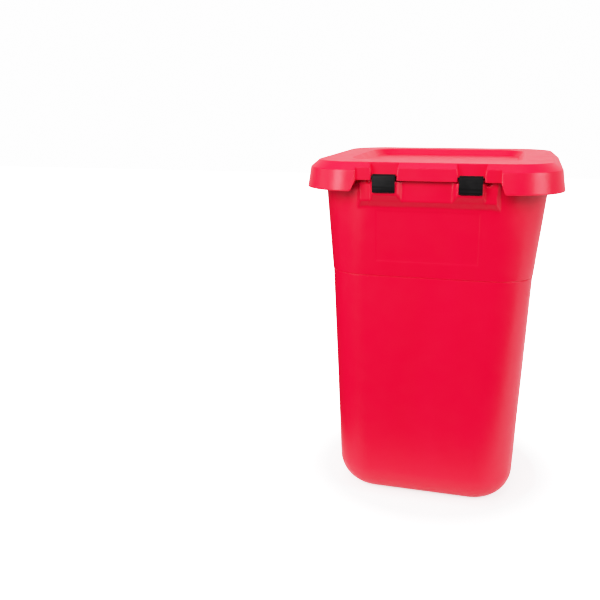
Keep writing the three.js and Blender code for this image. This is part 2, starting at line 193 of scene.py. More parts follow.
def moulded(name, base, deep, pale, rough_lo, rough_hi, grain=1.0, scuff=1.0,
            specular=0.5, subsurface=0.0):
    """Injection-moulded thermoplastic: fine spark grain, slow flow marks,
    lighter convex edges (rubbed wear and a painted edge highlight) and a few handling scuffs."""
    mat, tree, bsdf = nodes_of(name)
    link = tree.links.new
    v = coords(tree)

    flow = noise(tree, coords(tree, (7.0, 7.0, 2.2)), 1.0, 4.0, 0.5, 0.6)
    fine = noise(tree, v, 1500.0, 2.0, 0.6)
    peel = noise(tree, v, 190.0, 2.0, 0.5)
    cloud = noise(tree, v, 26.0, 4.0, 0.6)

    # scuffs: long thin marks that fade in and out
    s1 = noise(tree, coords(tree, (900.0, 900.0, 14.0)), 1.0, 2.0, 0.5, 0.3)
    s2 = noise(tree, v, 11.0, 3.0, 0.6)
    marks = maths(tree, "MULTIPLY", remap(tree, s1, 0.68, 0.76, 0.0, 1.0),
                  remap(tree, s2, 0.56, 0.70, 0.0, 1.0))

    # outer edges made lighter: rubbed wear and a painted edge highlight
    geo = tree.nodes.new("ShaderNodeNewGeometry")
    edge = remap(tree, geo.outputs["Pointiness"], 0.515, 0.60, 0.0, 1.0)
    edge_wear_and_highlight = maths(tree, "MULTIPLY", edge, remap(tree, cloud, 0.36, 0.62, 0.35, 1.0))

    colour = mix_colour(tree, remap(tree, flow, 0.32, 0.68, 0.0, 1.0), deep, base)
    # lighter convex edges: rubbed wear and a painted edge highlight
    colour = mix_colour(tree, maths(tree, "MULTIPLY", edge_wear_and_highlight, 0.30), colour, pale)
    colour = mix_colour(tree, maths(tree, "MULTIPLY", marks, 0.16 * scuff), colour, pale)
    link(colour, bsdf.inputs["Base Color"])

    rough = remap(tree, cloud, 0.3, 0.7, rough_lo, rough_hi)
    rough = maths(tree, "ADD", rough, maths(tree, "MULTIPLY", marks, 0.16 * scuff))
    rough = maths(tree, "SUBTRACT", rough, maths(tree, "MULTIPLY", edge_wear_and_highlight, 0.05))
    link(rough, bsdf.inputs["Roughness"])

    n1 = bump(tree, peel, 0.00010 * grain, 0.55)
    n2 = bump(tree, fine, 0.00005 * grain, 0.55, n1)
    n3 = bump(tree, marks, 0.00003, 0.35 * scuff, n2)
    link(n3, bsdf.inputs["Normal"])
    bsdf.inputs["IOR"].default_value = 1.49
    bsdf.inputs["Specular IOR Level"].default_value = specular
    if subsurface:
        bsdf.inputs["Subsurface Weight"].default_value = subsurface
        bsdf.inputs["Subsurface Radius"].default_value = (1.0, 0.12, 0.12)
        bsdf.inputs["Subsurface Scale"].default_value = 0.006
    return mat


RED = moulded("red_polyethylene_tub", (0.83, 0.0012, 0.034), (0.80, 0.0009, 0.030),
              (0.92, 0.05, 0.10), 0.29, 0.38, specular=0.46)
RED_LID = moulded("red_polyethylene_lid", (0.85, 0.0030, 0.036), (0.82, 0.0020, 0.031),
                  (0.94, 0.06, 0.11), 0.30, 0.39)
BLACK = moulded("black_nylon", (0.0050, 0.0046, 0.0048), (0.0038, 0.0036, 0.0038),
                (0.030, 0.029, 0.030), 0.34, 0.46, grain=1.4, scuff=0.7, specular=0.26)


def foam(name):
    """Closed-cell foam strip: small open cells at the skin."""
    mat, tree, bsdf = nodes_of(name)
    link = tree.links.new
    v = coords(tree)
    cells = tree.nodes.new("ShaderNodeTexVoronoi")
    cells.inputs["Scale"].default_value = 1300.0
    link(v, cells.inputs["Vector"])
    cloud = noise(tree, v, 60.0, 4.0, 0.6)
    link(mix_colour(tree, remap(tree, cloud, 0.3, 0.7, 0.0, 1.0), (0.020, 0.020, 0.021),
                    (0.036, 0.036, 0.038)), bsdf.inputs["Base Color"])
    link(remap(tree, cloud, 0.3, 0.7, 0.82, 0.94), bsdf.inputs["Roughness"])
    link(bump(tree, cells.outputs["Distance"], 0.0003, 0.8), bsdf.inputs["Normal"])
    bsdf.inputs["Specular IOR Level"].default_value = 0.3
    return mat


def drawn_steel(name):
    """Black-oxide drawn wire: lengthwise die lines and a mottled finish."""
    mat, tree, bsdf = nodes_of(name)
    link = tree.links.new
    v = coords(tree)
    lines = noise(tree, coords(tree, (30.0, 5200.0, 5200.0)), 1.0, 2.0, 0.5)
    cloud = noise(tree, v, 340.0, 3.0, 0.6)
    link(mix_colour(tree, remap(tree, cloud, 0.35, 0.65, 0.0, 1.0), (0.030, 0.030, 0.032),
                    (0.062, 0.062, 0.065)), bsdf.inputs["Base Color"])
    link(remap(tree, cloud, 0.3, 0.7, 0.22, 0.38), bsdf.inputs["Roughness"])
    link(bump(tree, lines, 0.00002, 0.6), bsdf.inputs["Normal"])
    bsdf.inputs["Metallic"].default_value = 1.0
    return mat


RUBBER = foam("foam_seal")
STEEL = drawn_steel("black_oxide_steel")


# ---------------------------------------------------------------- mesh helpers

def finish_piece(obj, body, replaces, mat, sharp=40.0):
    obj.data.materials.clear()
    obj.data.materials.append(mat)
    for p in obj.data.polygons:
        p.use_smooth = True
    obj.data.set_sharp_from_angle(angle=math.radians(sharp))
    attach(obj, body)
    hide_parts(*([replaces] if isinstance(replaces, str) else replaces))
    return obj


def new_object(name, verts, faces):
    mesh = bpy.data.meshes.new(name)
    mesh.from_pydata([tuple(v) for v in verts], [], faces)
    bm = bmesh.new()
    bm.from_mesh(mesh)
    bmesh.ops.recalc_face_normals(bm, faces=bm.faces)
    if bm.calc_volume() < 0:
        bmesh.ops.reverse_faces(bm, faces=bm.faces)
    bm.to_mesh(mesh)
    bm.free()
    mesh.update()
    obj = bpy.data.objects.new(name, mesh)
    bpy.context.scene.collection.objects.link(obj)
    return obj


def ring_skin(name, rings, first_cap=True, last_cap=True, loop=False):
    """A closed skin through rings of equal length, capped by fans or looped."""
    rings = np.asarray(rings) * MM
    m, n = rings.shape[:2]
    verts = rings.reshape(-1, 3).tolist()
    i = np.arange(n)
    j = (i + 1) % n
    faces = []
    for k in range(m if loop else m - 1):
        a, b = k * n, ((k + 1) % m) * n
        faces += np.stack([a + i, a + j, b + j, b + i], 1).tolist()
    for cap, k, flip in ((first_cap, 0, True), (last_cap, m - 1, False)):
        if cap and not loop:
            c = len(verts)
            verts.append(tuple(rings[k].mean(0)))
            a = k * n
            faces += [[c, a + int(q), a + int(p)] if flip else [c, a + int(p), a + int(q)]
                      for p, q in zip(i, j)]
    return new_object(name, verts, faces)


T_DIR = np.array([(1, 0), (0, 1), (-1, 0), (0, -1)], float)
N_DIR = np.array([(0, -1), (1, 0), (0, 1), (-1, 0)], float)


class Columns:
    """The columns round a rounded square: fixed stations along each wall out to
    t = q, and corner_n columns round each corner between them."""

    def __init__(self, q, stations, corner_n):
        self.q = q
        self.t, self.side, self.u = [], [], []
        for k in range(4):
            ts = stations[k]
            self.t += list(ts)
            self.side += [k] * len(ts)
            self.u += [np.nan] * len(ts)
            for c in range(1, corner_n + 1):
                self.t.append(np.nan)
                self.side.append(k)
                self.u.append(c / (corner_n + 1))
        self.t, self.side, self.u = map(np.array, (self.t, self.side, self.u))
        self.corner = np.isnan(self.t)

    def ts(self, w, r, inset=0.0):
        """(t, s) of every column on the rounded square of half-width w and
        corner radius r, moved in by inset along its normals."""
        c = w - r
        # small outlines draw the stations together, so that the corner keeps its arc
        q = min(self.q, c + r * math.sin(math.radians(38.0)))
        t = np.where(self.corner, 0.0, self.t) * (q / self.q)
        over = np.clip((np.abs(t) - c) / r, 0.0, 1.0)
        angle = np.arcsin(over)
        if q <= c:
            straight, a0 = c - q, 0.0
        else:
            straight, a0 = 0.0, math.asin(min(1.0, (q - c) / r))
        arc = (math.pi / 2 - 2 * a0) * r
        length = 2 * straight + arc
        d = np.nan_to_num(self.u) * length
        angle_c = a0 + np.clip(d - straight, 0.0, arc) / r
        before = np.clip(straight - d, 0.0, None)
        after = np.clip(d - straight - arc, 0.0, None)
        ri = r - inset
        t_c = c + ri * np.sin(angle_c) - before
        s_c = c + ri * np.cos(angle_c) - after
        t_s = np.where(np.abs(t) <= c, t, np.sign(t) * (c + ri * np.sin(angle)))
        s_s = np.where(np.abs(t) <= c, w - inset, c + ri * np.cos(angle))
        return np.where(self.corner, t_c, t_s), np.where(self.corner, s_c, s_s)

    def xyz(self, t, s, z):
        xy = T_DIR[self.side] * t[:, None] + N_DIR[self.side] * s[:, None]
        return np.column_stack([xy, np.broadcast_to(z, t.shape)])


def smin(a, b, k):
    h = np.clip(k - np.abs(a - b), 0, None) / k
    return np.minimum(a, b) - h * h * k / 4


def smax(a, b, k):
    return -smin(-a, -b, k)


def smooth(a, b, x):
    u = np.clip((np.asarray(x, float) - a) / (b - a), 0, 1)
    return u * u * (3 - 2 * u)


def around(points, offsets):
    return [p + o for p in points for o in offsets]


def spread(low, high, extra, gap):
    """Stations from low to high at most gap apart, with the extra ones."""
    keys = sorted(set([low, high] + [round(e, 3) for e in extra if low < e < high]))
    out = []
    for a, b in zip(keys[:-1], keys[1:]):
        n = max(1, int(math.ceil((b - a) / gap - 1e-9)))
        out += [a + (b - a) * i / n for i in range(n)]
    return out + [high]


# ---------------------------------------------------------------- tub

TUB_Q = 140.0
front_x = around([-136, -130, -110, -104, -57, -48, 48, 57, 104, 110, 130, 136],
                 (-1.6, -0.8, 0.0, 0.8, 1.6))
front_x += around([-CLIP_X - 17.5, -CLIP_X + 17.5, CLIP_X - 17.5, CLIP_X + 17.5],
                  (-0.8, -0.35, 0.0, 0.35, 0.8))
notch_x = around([-CLIP_X - 32, -CLIP_X + 32, CLIP_X - 32, CLIP_X + 32],
                 (-1.8, -1.3, -0.7, 0.0, 0.35, 0.9, 1.8))
front_x += notch_x
front_x += around([-100, 100], (-1.5, -0.5, 0.5, 1.5))
back_x = around([-136, 136, -130, 130], (-1.6, -0.8, 0.0, 0.8, 1.6)) + notch_x
side_t = spread(-TUB_Q, TUB_Q, [], 12.0)


def thin(values, least=0.12):
    out = [values[0]]
    for v in values[1:]:
        if v - out[-1] >= least:
            out.append(v)
    return out


tub_front = thin(spread(-TUB_Q, TUB_Q, front_x, 4.0))
tub_back = [-x for x in reversed(thin(spread(-TUB_Q, TUB_Q, back_x, 6.0)))]
tub_cols = Columns(TUB_Q, [tub_front, side_t, tub_back, side_t], 30)

slope = (CATCH_S - wall_at(PAD_Z)) / (CATCH_Z - PAD_Z)


def pad_surface(x, z):
    ax = np.abs(x)
    ends = wall_at(PAD_Z) - 1 + (PAD_X - ax) * (PAD_S - wall_at(PAD_Z) + 1) / 6.0
    under = wall_at(PAD_Z) + slope * (z - PAD_Z)
    low = PAD_S - (z - PAD_TOP_Z + 4) * (PAD_S - NECK_HALF + 1.6) / 4
    high = PAD_S - max(0.0, z - PAD_HIGH_Z + 1.5) * 4.0
    # the top runs on up to the rim's lip, except below the lid's channels
    clear = smooth(33.2, 34.4, np.abs(ax - CLIP_X))
    top = np.minimum(low, PAD_S + 2.0) * (1 - clear) + np.minimum(high, PAD_S + 2.0) * clear
    sides = smin(ends, np.full_like(x, min(under, 400.0)), 5.0)
    return smin(smin(np.full_like(x, PAD_S), sides, 2.0), top, 1.2)


def catch_surface(x, z):
    out = np.full_like(x, 100.0)
    under = wall_at(PAD_Z) + slope * (z - PAD_Z)
    top = CATCH_S - max(0.0, z - (CATCH_TOP_Z - 2.0)) ** 2 * 0.35 - max(
        0.0, z - CATCH_TOP_Z + 0.3) * 16.0
    for x0, x1 in CATCH:
        t0, t1 = ((CATCH_TAPER_OUT, CATCH_TAPER) if x0 < 0 else (CATCH_TAPER, CATCH_TAPER_OUT))
        ends = PAD_S + np.minimum((x - x0) / t0, (x1 - x) / t1) * (CATCH_S - PAD_S)
        block = smin(smin(np.full_like(x, CATCH_S), smin(ends, np.full_like(x, under), 2.5), 1.8),
                     np.full_like(x, top), 1.2)
        out = np.maximum(out, block)
    return out


def outer_feature(t, s, z, side):
    """Pads, catch blocks and the plain panel on the tub's outer wall."""
    if side == 0:
        panel = (smooth(-101.2, -98.8, t) - smooth(98.8, 101.2, t)) * float(
            smooth(531.6, 534.4, z) - smooth(634.0, 636.8, z))
        s = s - 0.45 * panel
    if z > PAD_Z - 6 and z < 704.2:
        s = smax(s, pad_surface(t, z), 2.4)
        if side == 0:
            s = smax(s, catch_surface(t, z), 1.6)
            in_z = float(smooth(SLOT_Z - 0.35, SLOT_Z + 0.1, z)
                         - smooth(CATCH_UNDER_Z - 0.1, CATCH_UNDER_Z + 0.35, z))
            if in_z > 0:
                for c in (-CLIP_X, CLIP_X):
                    m = 1 - smooth(17.1, 17.8, np.abs(t - c))
                    s = np.where(m * in_z > 0, s + (np.minimum(s, 233.5) - s) * m * in_z, s)
    return s


def tub_row(w, r, z, inset=0.0, outer=True):
    t, s = tub_cols.ts(w, r, inset)
    if outer:
        for k in (0, 2):
            m = (~tub_cols.corner) & (tub_cols.side == k)
            s[m] = outer_feature(t[m], s[m], z, k)
    return tub_cols.xyz(t, s, z)


def make_tub():
    rows = []
    base = tub_row(wall_at(0), corner_at(0), 0.0, BASE_FILLET, False)
    for f in (0.12, 0.4, 0.7, 0.9):
        rows.append(base * (f, f, 1.0))
    for a in np.linspace(0, 90, 25):
        u = math.radians(a)
        z, inset = BASE_FILLET * (1 - math.cos(u)), BASE_FILLET * (1 - math.sin(u))
        rows.append(tub_row(wall_at(z), corner_at(z), z, inset, False))
    zs = spread(64.5, STEP_Z - 3.4, [], 12.0)[1:]
    for z in zs:
        rows.append(tub_row(wall_at(z), corner_at(z), z, 0.0, False))
    # the step, with the mould's witness groove under it
    for z, f in ((-2.9, 0.0), (-2.6, -0.12), (-2.35, -0.6), (-2.05, -1.05), (-1.65, -1.2),
                 (-1.3, -0.95), (-1.1, -0.3), (-0.95, 0.3), (-0.7, 0.72), (-0.35, 0.95),
                 (0.25, 1.0)):
        zz = STEP_Z + z
        w = BASE_HALF + (STEP_HALF - BASE_HALF) * zz / STEP_Z + f * STEP_PROUD
        rows.append(tub_row(w, STEP_R + f * STEP_PROUD, zz))
    zs = spread(STEP_Z + 1.2, NECK_Z, around([533, 635.4], (-1.5, -0.5, 0.5, 1.5))
                + around([SLOT_Z, CATCH_UNDER_Z], (-0.5, -0.35, -0.12, 0.1, 0.35, 0.6))
                + around([CATCH_Z, 656.1], (-2.2, -1.4, -0.7, 0.0, 0.7, 1.4, 2.2))
                + around([PAD_Z], (-3, -2, -1, 0, 1, 2, 3))
                + around([PAD_TOP_Z - 4], (-1, 0, 1)) + [SHOULDER_Z], 6.0)
    fine = []
    for a, b in zip(zs[:-1], zs[1:]):
        n = max(1, int(math.ceil((b - a) / (6.0 if b < 641 else 1.3))))
        fine += [a + (b - a) * i / n for i in range(n)]
    for z in fine + [NECK_Z]:
        if z <= SHOULDER_Z:
            f = (z - STEP_Z) / (SHOULDER_Z - STEP_Z)
            w, r = wall_at(z), STEP_R + STEP_PROUD + (SHOULDER_R - STEP_R - STEP_PROUD) * f
        else:
            f = (z - SHOULDER_Z) / (NECK_Z - SHOULDER_Z)
            w, r = (SHOULDER_HALF + (NECK_HALF - SHOULDER_HALF) * f,
                    SHOULDER_R + (NECK_R - SHOULDER_R) * f)
        rows.append(tub_row(w, r, z))
    for z in (690.6, 691.2, 691.8, 692.3, 692.6, 692.8, 693.0, 693.2, 693.5, 694.2, 697, 700, 701.6,
              702.1, 702.6, 703.1, 703.5, 703.8):
        rows.append(tub_row(NECK_HALF, NECK_R, z))

    # the rim: a flange with a turned-down lip, cut back to the wall where the
    # lid's channels pass, with a closed gusset at each end of a cut
    def rim_row(full, filled, flat):
        (wf, rf, zf), (sg, zg), (sn, zn) = full, filled, flat
        t, s = tub_cols.ts(wf, rf)
        z = np.full_like(t, zf)
        for k in (0, 2):
            m = (~tub_cols.corner) & (tub_cols.side == k)
            d = np.min([np.abs(t[m] - c) for c in (-CLIP_X, CLIP_X)], axis=0) - 32.0
            g = 1 - smooth(1.3, 1.8, d)         # hollow closed by the gusset
            cutback = 1 - smooth(0.0, 0.35, d)  # flange cut away
            s[m] += (sg - s[m]) * g
            z[m] += (zg - z[m]) * g
            s[m] += (sn - s[m]) * cutback
            z[m] += (zn - z[m]) * cutback
        return tub_cols.xyz(t, s, z)

    lip_in, lip_r = RIM_HALF - RIM_LIP_T, RIM_R - RIM_LIP_T
    under = RIM_Z - RIM_T
    flat = NECK_HALF + 0.2
    rim = [
        ((NECK_HALF, NECK_R, 704.0), (NECK_HALF, 704.0), (flat, 704.0)),
        ((NECK_HALF, NECK_R, under - 1.2), (NECK_HALF + 0.1, 704.6), (flat, 704.3)),
        ((NECK_HALF + 0.35, NECK_R + 0.35, under - 0.35), (NECK_HALF + 0.4, 704.9), (flat, 704.6)),
        ((NECK_HALF + 1.2, NECK_R + 1.2, under), (NECK_HALF + 1.2, 705.0), (flat, 704.9)),
        ((lip_in - 1.0, lip_r - 1.0, under), (lip_in - 2.4, 705.0), (flat, 705.2)),
        ((lip_in - 0.3, lip_r - 0.3, under - 0.3), (lip_in - 1.7, 705.0), (flat, 705.5)),
        ((lip_in, lip_r, under - 1.0), (lip_in - 1.1, 705.0), (flat, 705.8)),
        ((lip_in, lip_r, RIM_LIP_Z + 0.7), (lip_in - 0.4, 705.0), (flat, 706.1)),
        ((lip_in + 0.2, lip_r + 0.2, RIM_LIP_Z + 0.2), (lip_in + 0.2, 705.0), (flat, 706.4)),
        ((lip_in + 0.8, lip_r + 0.8, RIM_LIP_Z), (lip_in + 0.8, 705.0), (flat, 706.7)),
        ((RIM_HALF - 0.8, RIM_R - 0.8, RIM_LIP_Z), (RIM_HALF - 0.8, 705.0), (flat, 707.0)),
        ((RIM_HALF - 0.2, RIM_R - 0.2, RIM_LIP_Z + 0.2), (RIM_HALF - 0.2, 705.2), (flat, 707.3)),
        ((RIM_HALF, RIM_R, RIM_LIP_Z + 0.8), (RIM_HALF, 705.8), (flat, 707.6)),
        ((RIM_HALF, RIM_R, 712.0), (RIM_HALF, 712.0), (flat, 712.5)),
        ((RIM_HALF, RIM_R, RIM_Z - 1.4), (RIM_HALF, RIM_Z - 1.4), (flat, RIM_Z - 1.4)),
    ]
    for a in (22, 45, 68, 90):
        u = math.radians(a)
        o, h = 1.4 * (1 - math.cos(u)), 1.4 * math.sin(u)
        rim.append(((RIM_HALF - o, RIM_R - o, RIM_Z - 1.4 + h), (RIM_HALF - o, RIM_Z - 1.4 + h),
                    (flat - o * 0.6, RIM_Z - 1.4 + h)))
    rim.append(((230.0, 103.0, RIM_Z), (230.0, RIM_Z), (flat - 1.2, RIM_Z)))
    rows += [rim_row(*r) for r in rim]
    inner_w, inner_r = NECK_HALF - WALL, NECK_R - WALL
    for a in (0, 30, 60, 90):
        u = math.radians(a)
        o, h = 1.1 * (1 - math.sin(u)), 1.1 * (1 - math.cos(u))
        rows.append(tub_row(inner_w + o, inner_r + o, RIM_Z - h, 0.0, False))
    for z in (712.0, 704.0, 697.0, NECK_Z, 682.0):
        f = min(1.0, (z - SHOULDER_Z) / (NECK_Z - SHOULDER_Z))
        rows.append(tub_row(SHOULDER_HALF - WALL + (NECK_HALF - SHOULDER_HALF) * f,
                            SHOULDER_R - WALL + (NECK_R - SHOULDER_R) * f, z, 0.0, False))
    for z in np.linspace(SHOULDER_Z, STEP_Z + 1.0, 15):
        f = (z - STEP_Z) / (SHOULDER_Z - STEP_Z)
        rows.append(tub_row(STEP_HALF - WALL + 0.4 + (SHOULDER_HALF - STEP_HALF - 0.4) * f,
                            STEP_R - WALL + (SHOULDER_R - STEP_R) * f, z, 0.0, False))
    for z in np.linspace(STEP_Z - 0.5, 64.5, 30):
        rows.append(tub_row(wall_at(z) - WALL, corner_at(z) - WALL, z, 0.0, False))
    r = BASE_FILLET - WALL
    for a in np.linspace(86, 0, 20):
        u = math.radians(a)
        z, inset = WALL + r * (1 - math.cos(u)), WALL + r * (1 - math.sin(u))
        rows.append(tub_row(wall_at(z), corner_at(z), z, inset, False))
    floor = rows[-1]
    for f in (0.9, 0.7, 0.4, 0.12):
        rows.append(floor * (f, f, 1.0))
    tub = ring_skin("tub_shell", rows)
    return finish_piece(tub, "tub", "tub", RED)


make_tub()

# ---------------------------------------------------------------- lid

LID_Q = 148.0
CH_R = 2.4                        # rounding of a channel's front edges
edge_off = (-0.9, -0.45, -0.1, 0.0, 0.06, 0.2, 0.45, 0.8, 1.3, 1.8, 2.4, 3.2)
lid_x = []
for c in (-CLIP_X, CLIP_X):
    for d in (-1, 1):
        lid_x += [c + d * (CHANNEL_HW + o) for o in edge_off]
        lid_x += [c + d * (CHANNEL_INNER_HW + o) for o in (-0.5, -0.1, 0.1, 0.5)]
for d in (-1, 1):
    lid_x += [d * (NOTCH_X + o) for o in edge_off]
    lid_x += [d * (NOTCH_X + 3 + o) for o in (-0.3, -0.05, 0.05, 0.3)]
    lid_x += [d * (NOTCH_X_LOW + o) for o in (-4, -3, -2, -1, 0, 1, 2)]
lid_front = thin(spread(-LID_Q, LID_Q, sorted(lid_x), 6.0), 0.04)
lid_back = [-x for x in reversed(lid_front)]
lid_side = spread(-LID_Q, LID_Q, [], 12.0)
lid_cols = Columns(LID_Q, [lid_front, lid_side, lid_back, lid_side], 34)


def raised(d, depth, r):
    """0 beside a step, 1 on it, with its edge rounded to radius r; d is the
    distance in from the step's side."""
    d = np.asarray(d, float)
    round_off = r - np.sqrt(np.clip(r * r - np.clip(r - d, 0, r) ** 2, 0, None))
    return np.where(d < -0.02, 0.0, 1 - np.clip(round_off, 0, None) / depth)


def skirt_low(t, side):
    """Height of the skirt's lower edge along the front or back wall."""
    low = PANEL_Z[side]
    fall = (low - SKIRT_Z) / (NOTCH_X_LOW - NOTCH_X)
    z = low - fall * (np.abs(t) - NOTCH_X)
    return np.clip(smax(smin(z, np.full_like(z, low), 3.0), np.full_like(z, SKIRT_Z), 7.0),
                   SKIRT_Z, low)


def arc_points(s0, z0, r, a0, a1, n):
    return [(s0 + r * math.cos(math.radians(a)), z0 + r * math.sin(math.radians(a)))
            for a in np.linspace(a0, a1, n)]


def corner_points(p0, p1, p2, r, n):
    """An arc of radius r that rounds the corner p0-p1-p2."""
    p0, p1, p2 = map(np.array, (p0, p1, p2))
    a = (p0 - p1) / np.linalg.norm(p0 - p1)
    b = (p2 - p1) / np.linalg.norm(p2 - p1)
    half = math.acos(float(np.clip(a @ b, -1, 1))) / 2
    d = r / math.tan(half)
    c = p1 + (a + b) / np.linalg.norm(a + b) * r / math.sin(half)
    v0, v1 = p1 + a * d - c, p1 + b * d - c
    a0, a1 = math.atan2(v0[1], v0[0]), math.atan2(v1[1], v1[0])
    if a1 - a0 > math.pi:
        a1 -= 2 * math.pi
    if a0 - a1 > math.pi:
        a1 += 2 * math.pi
    return [(c[0] + r * math.cos(u), c[1] + r * math.sin(u)) for u in np.linspace(a0, a1, n)]


def line(p0, p1, n):
    """n points strictly between p0 and p1."""
    return [(p0[0] + (p1[0] - p0[0]) * i / (n + 1), p0[1] + (p1[1] - p0[1]) * i / (n + 1))
            for i in range(1, n + 1)]


def lid_profiles(low):
    """Outer (s, z) rows from the lower edge to the recess, for the skirt, the
    set-back panel and the channel, all with equal counts."""
    bevel_in = (TOP_HALF, TOP_Z)
    rise = (TOP_Z - SKIRT_TOP_Z) / (SKIRT_TOP_HALF - TOP_HALF)

    def build(foot, shoulder, r_shoulder):
        edge = arc_points(foot[0] - 1.1, foot[1] + 1.1, 1.1, -90, 0, 4)
        sh = corner_points(foot, shoulder, bevel_in, r_shoulder, 7)
        tp = corner_points(shoulder, bevel_in, (TOP_HALF - 30, TOP_Z), 2.6, 7)
        return (edge + line(edge[-1], sh[0], 12) + sh + line(sh[-1], tp[0], 5) + tp)

    skirt = build((SKIRT_HALF, low), (SKIRT_TOP_HALF, SKIRT_TOP_Z), 3.4)
    shoulder_z = TOP_Z - (PANEL_S - TOP_HALF) * rise
    panel = build((PANEL_S, low), (PANEL_S, shoulder_z), 2.2)
    edge = arc_points(CHANNEL_S - 0.8, low + 0.8, 0.8, -90, 0, 4)
    tp = arc_points(CHANNEL_S - 1.9, TOP_Z - 1.9, 1.9, 0, 90, 7)
    channel = edge + line(edge[-1], tp[0], 24) + tp
    assert len(skirt) == len(panel) == len(channel)
    return np.array(skirt), np.array(panel), np.array(channel)


def inner_profiles(low):
    rise = (TOP_Z - LID_T - SKIRT_TOP_Z + 1.2) / (SKIRT_TOP_HALF - SKIRT_T - TOP_HALF + 0.5)
    top_in = (TOP_HALF - 0.4, TOP_Z - LID_T)
    s_sk = SKIRT_TOP_HALF - SKIRT_T + 0.1

    def build(foot, shoulder):
        sh = corner_points(foot, shoulder, top_in, 1.2, 4)
        return ([foot] + line(foot, sh[0], 7) + sh + line(sh[-1], top_in, 3) + [top_in])

    skirt = build((SKIRT_HALF - SKIRT_T, low), (s_sk, SKIRT_TOP_Z - 1.2))
    s_p = PANEL_S - PANEL_T
    panel = build((s_p, low), (s_p, TOP_Z - LID_T - (s_p - TOP_HALF + 0.4) * rise))
    s_c = CHANNEL_S - CHANNEL_T
    channel = [(s_c, low)] + line((s_c, low), (s_c, TOP_Z - LID_T - 0.4), 14) + [
        (s_c - 0.1, TOP_Z - LID_T)]
    assert len(skirt) == len(panel) == len(channel), (len(skirt), len(channel))
    return np.array(skirt), np.array(panel), np.array(channel)


def lid_rows(profiles, x_channel, r_channel, x_notch, r_notch, splay):
    """Rings for rows whose place depends on the column: skirt, panel, channel."""
    cols = lid_cols
    n = len(cols.side)
    # lower edge for every column
    low = np.full(n, SKIRT_Z)
    for k in (0, 2):
        m = (~cols.corner) & (cols.side == k)
        low[m] = skirt_low(cols.t[m], k)
    cache = {}

    def tables(v, side):
        key = (round(float(v), 4), side)
        if key not in cache:
            cache[key] = profiles(float(v))
        return cache[key]

    count = len(profiles(SKIRT_Z)[0])
    S, Z = np.zeros((count, n)), np.zeros((count, n))
    base_skirt = profiles(SKIRT_Z)[0]
    T = np.zeros((count, n))
    for i in range(count):
        w = base_skirt[i, 0]
        t, s = cols.ts(w, w - LID_C)
        T[i], S[i], Z[i] = t, s, base_skirt[i, 1]
    for col in np.where((~cols.corner) & ((cols.side == 0) | (cols.side == 2)))[0]:
        side, t = int(cols.side[col]), float(cols.t[col])
        skirt, panel, channel = tables(low[col], side)
        if side == 0 or side == 2:
            # the skirt's own slope is kept when its lower edge is higher
            sk = skirt.copy()
            full = base_skirt
            sk[:, 0] = np.where(sk[:, 1] < SKIRT_TOP_Z - 3.4,
                                sk[:, 0] - (SKIRT_HALF - np.interp(
                                    low[col], [SKIRT_Z, SKIRT_TOP_Z], [SKIRT_HALF, SKIRT_TOP_HALF]))
                                * np.clip((SKIRT_TOP_Z - sk[:, 1]) / (SKIRT_TOP_Z - low[col]), 0, 1),
                                sk[:, 0])
            skirt = sk
        w_skirt = float(raised(abs(t) - x_notch, 8.0, r_notch))
        d = min(abs(t - CLIP_X), abs(t + CLIP_X)) - x_channel
        w_panel = float(raised(d, PANEL_S - CHANNEL_S, r_channel))
        row = channel * (1 - w_panel) + panel * w_panel
        row = row * (1 - w_skirt) + skirt * w_skirt
        S[:, col], Z[:, col] = row[:, 0], row[:, 1]
        if splay:
            c = CLIP_X if t > 0 else -CLIP_X
            off = t - c
            g = np.interp(Z[:, col], [711.0, TOP_Z], [1.0, CHANNEL_HW_TOP / CHANNEL_HW])
            fall = 1 - smooth(30.5, 45.0, abs(off))
            T[:, col] = c + off * (1 + (g - 1) * float(fall))
        else:
            T[:, col] = t
    return T, S, Z


